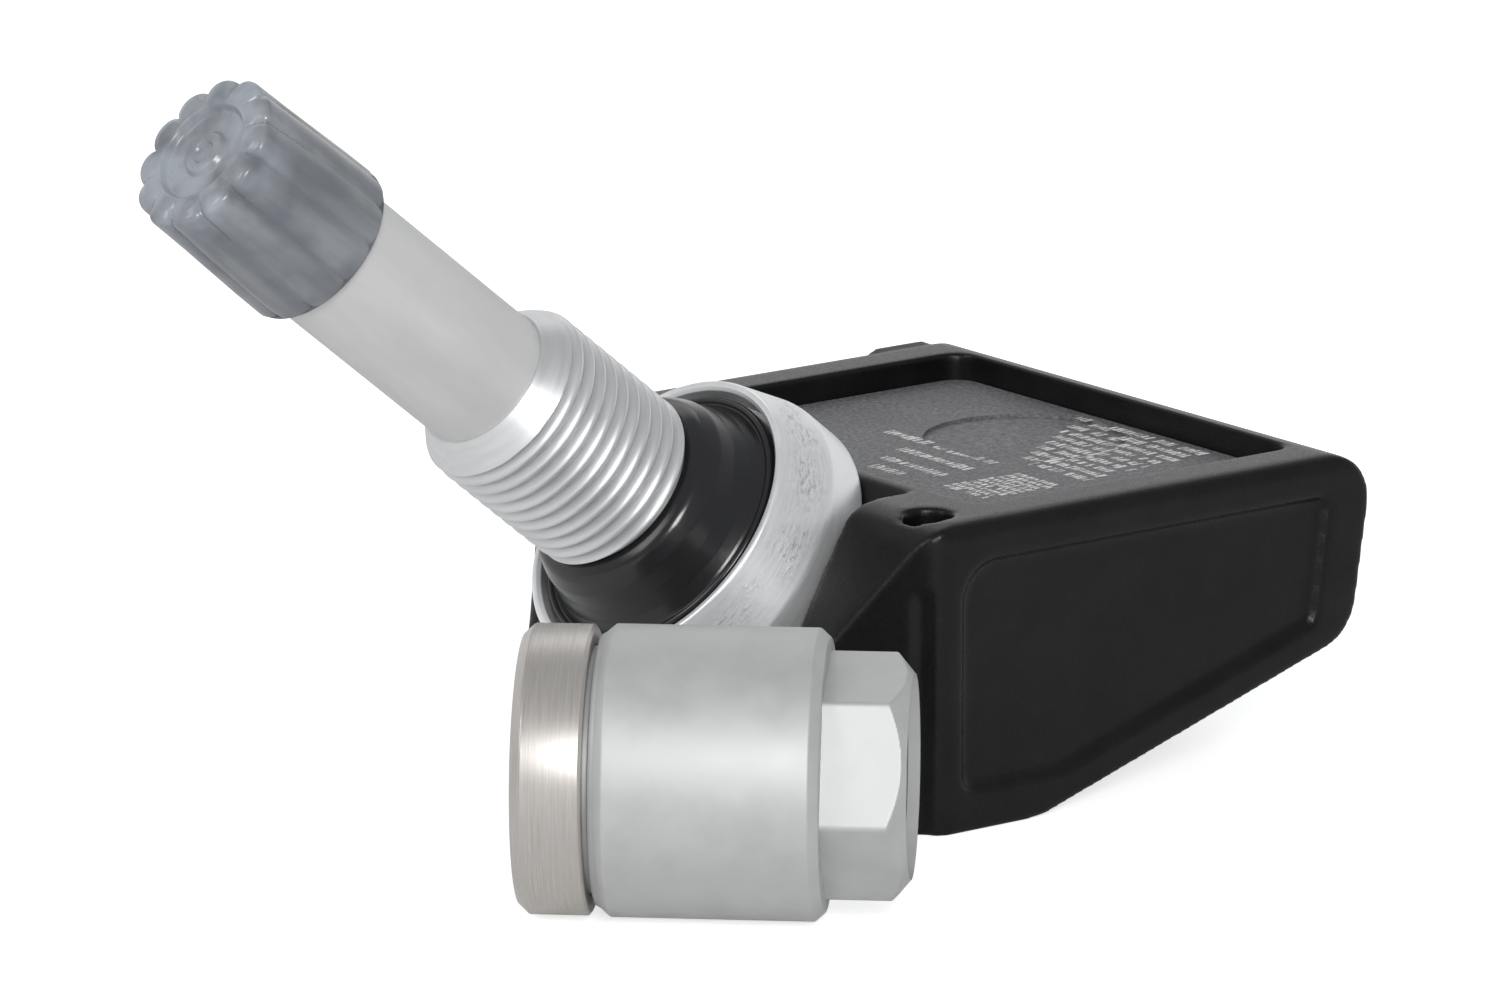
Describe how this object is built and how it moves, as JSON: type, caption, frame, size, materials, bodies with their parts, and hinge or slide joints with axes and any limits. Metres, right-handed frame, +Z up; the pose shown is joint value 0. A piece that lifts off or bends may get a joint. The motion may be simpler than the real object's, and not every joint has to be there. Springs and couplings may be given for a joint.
{
  "type": "tyre pressure sensor",
  "caption": "Clamp-in tyre pressure sensor: wedge housing, inclined threaded valve stem with rubber grommet, fluted cap and a loose collar nut.",
  "frame": {"origin": "on the flat foot under the housing, in its middle plane, below the seat of the valve collar", "axes": "+X from the valve to the back of the housing, +Z up from the foot, -Y to the side where the loose nut lies"},
  "size_m": [0.0704, 0.0539, 0.0441],
  "materials": {
    "housing": "moulded, satin with rounded edges",
    "cover": "matt, finely speckled",
    "board": "solder resist",
    "cell": "satin",
    "tab": "plain strip",
    "chip": "moulded",
    "can": "drawn can",
    "ferrite": "sintered",
    "copper": "wound wire",
    "ceramic": "ceramic body",
    "screw": "zinc coated",
    "stem": "turned and blasted, bright thread",
    "rubber": "glossy moulded rubber",
    "core": "turned",
    "gasket": "moulded ring",
    "pin": "drawn wire",
    "cap": "satin moulded plastic",
    "nut": "satin turned",
    "washer": "brushed round the ring"
  },
  "bodies": {
    "sensor": {"housing": "housing", "cover": "cover", "circuit_board": "board", "battery_cell": "cell", "battery_tab_top": "tab", "battery_tab_bottom": "tab", "sensor_chip": "chip", "crystal": "can", "ferrite_core": "ferrite", "antenna_coil": "copper", "antenna_bracket": "tab", "capacitors": "ceramic", "retaining_screw": "screw", "valve_stem": "stem", "grommet": "rubber", "core_body": "core", "core_gasket": "gasket", "core_spring": "pin", "collar_nut": "nut"},
    "core_plunger": {"core_pin": "pin", "core_seal_cup": "rubber"},
    "cap_disc": {"cap_seal": "rubber"},
    "cap": {"valve_cap": "cap"},
    "washer": {"nut_washer": "washer"}
  },
  "joints": [
    {"name": "core_press", "type": "slide", "parent": "sensor", "child": "core_plunger", "axis": [0.7738, 0, -0.6334], "range_m": [0, 0.0012], "stiffness_N_per_m": 1500, "springref_m": -0.001, "deforming": ["core_spring"]},
    {"name": "cap_lift", "type": "slide", "parent": "sensor", "child": "cap_disc", "axis": [-0.7738, 0, 0.6334], "range_m": [0, 0.00715]},
    {"name": "cap_turn", "type": "hinge", "parent": "cap_disc", "child": "cap", "pos_m": [-0.03153, 0, 0.03757], "axis": [-0.7738, 0, 0.6334], "range_deg": [0, 3240]},
    {"name": "washer_spin", "type": "hinge", "parent": "sensor", "child": "washer", "pos_m": [-0.02421, -0.01754, 0.00795], "axis": [0.7431, -0.6691, 0], "continuous": true}
  ],
  "couplings": [
    {"joint": "cap_lift", "follows": "cap_turn", "m_per_rad": 0.00012637}
  ]
}
